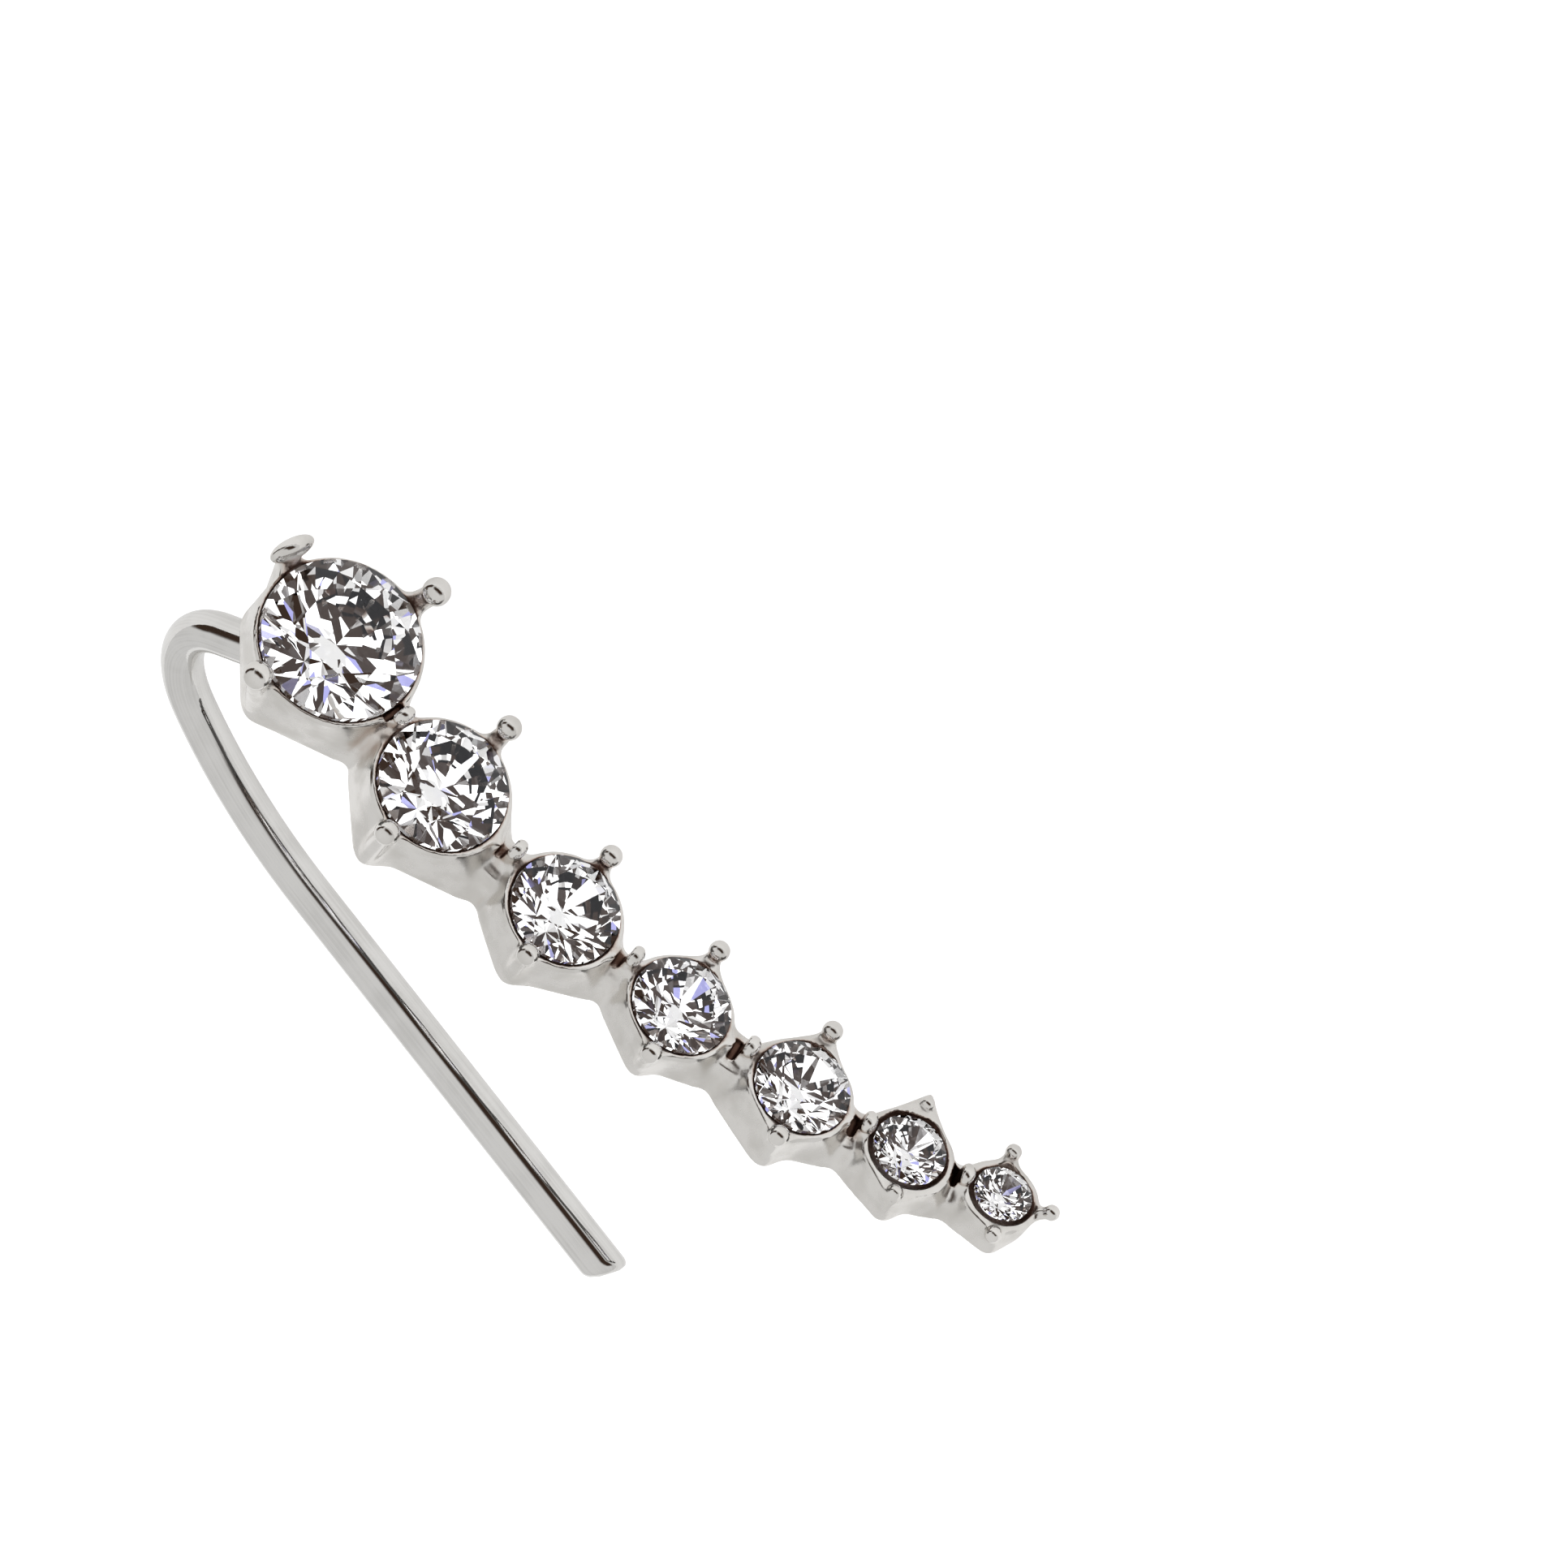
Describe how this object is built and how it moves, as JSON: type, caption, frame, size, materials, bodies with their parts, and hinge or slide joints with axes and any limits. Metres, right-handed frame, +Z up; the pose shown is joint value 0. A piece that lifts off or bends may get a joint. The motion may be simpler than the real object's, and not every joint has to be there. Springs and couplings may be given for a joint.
{
  "type": "ear climber earring",
  "caption": "Stiff ear climber: a curved row of graduated round stones in prong baskets, with a long ear wire soldered behind the largest one and hooked round behind the row.",
  "frame": {"origin": "middle of the bounding box, on the table that the earring rests on", "axes": "+X runs along the row from the largest stone to the smallest, +Y is the side that the stones face and +Z is up from the table"},
  "size_m": [0.0252, 0.0124, 0.006],
  "materials": {
    "silver": "polished rhodium-plated silver, with satin walls on the baskets",
    "crystal": "clear brilliant-cut cubic zirconia, sharp polished facets"
  },
  "bodies": {
    "root": {"setting_row_with_ear_wire": "silver", "stone_1": "crystal", "stone_2": "crystal", "stone_3": "crystal", "stone_4": "crystal", "stone_5": "crystal", "stone_6": "crystal", "stone_7": "crystal"}
  },
  "joints": []
}
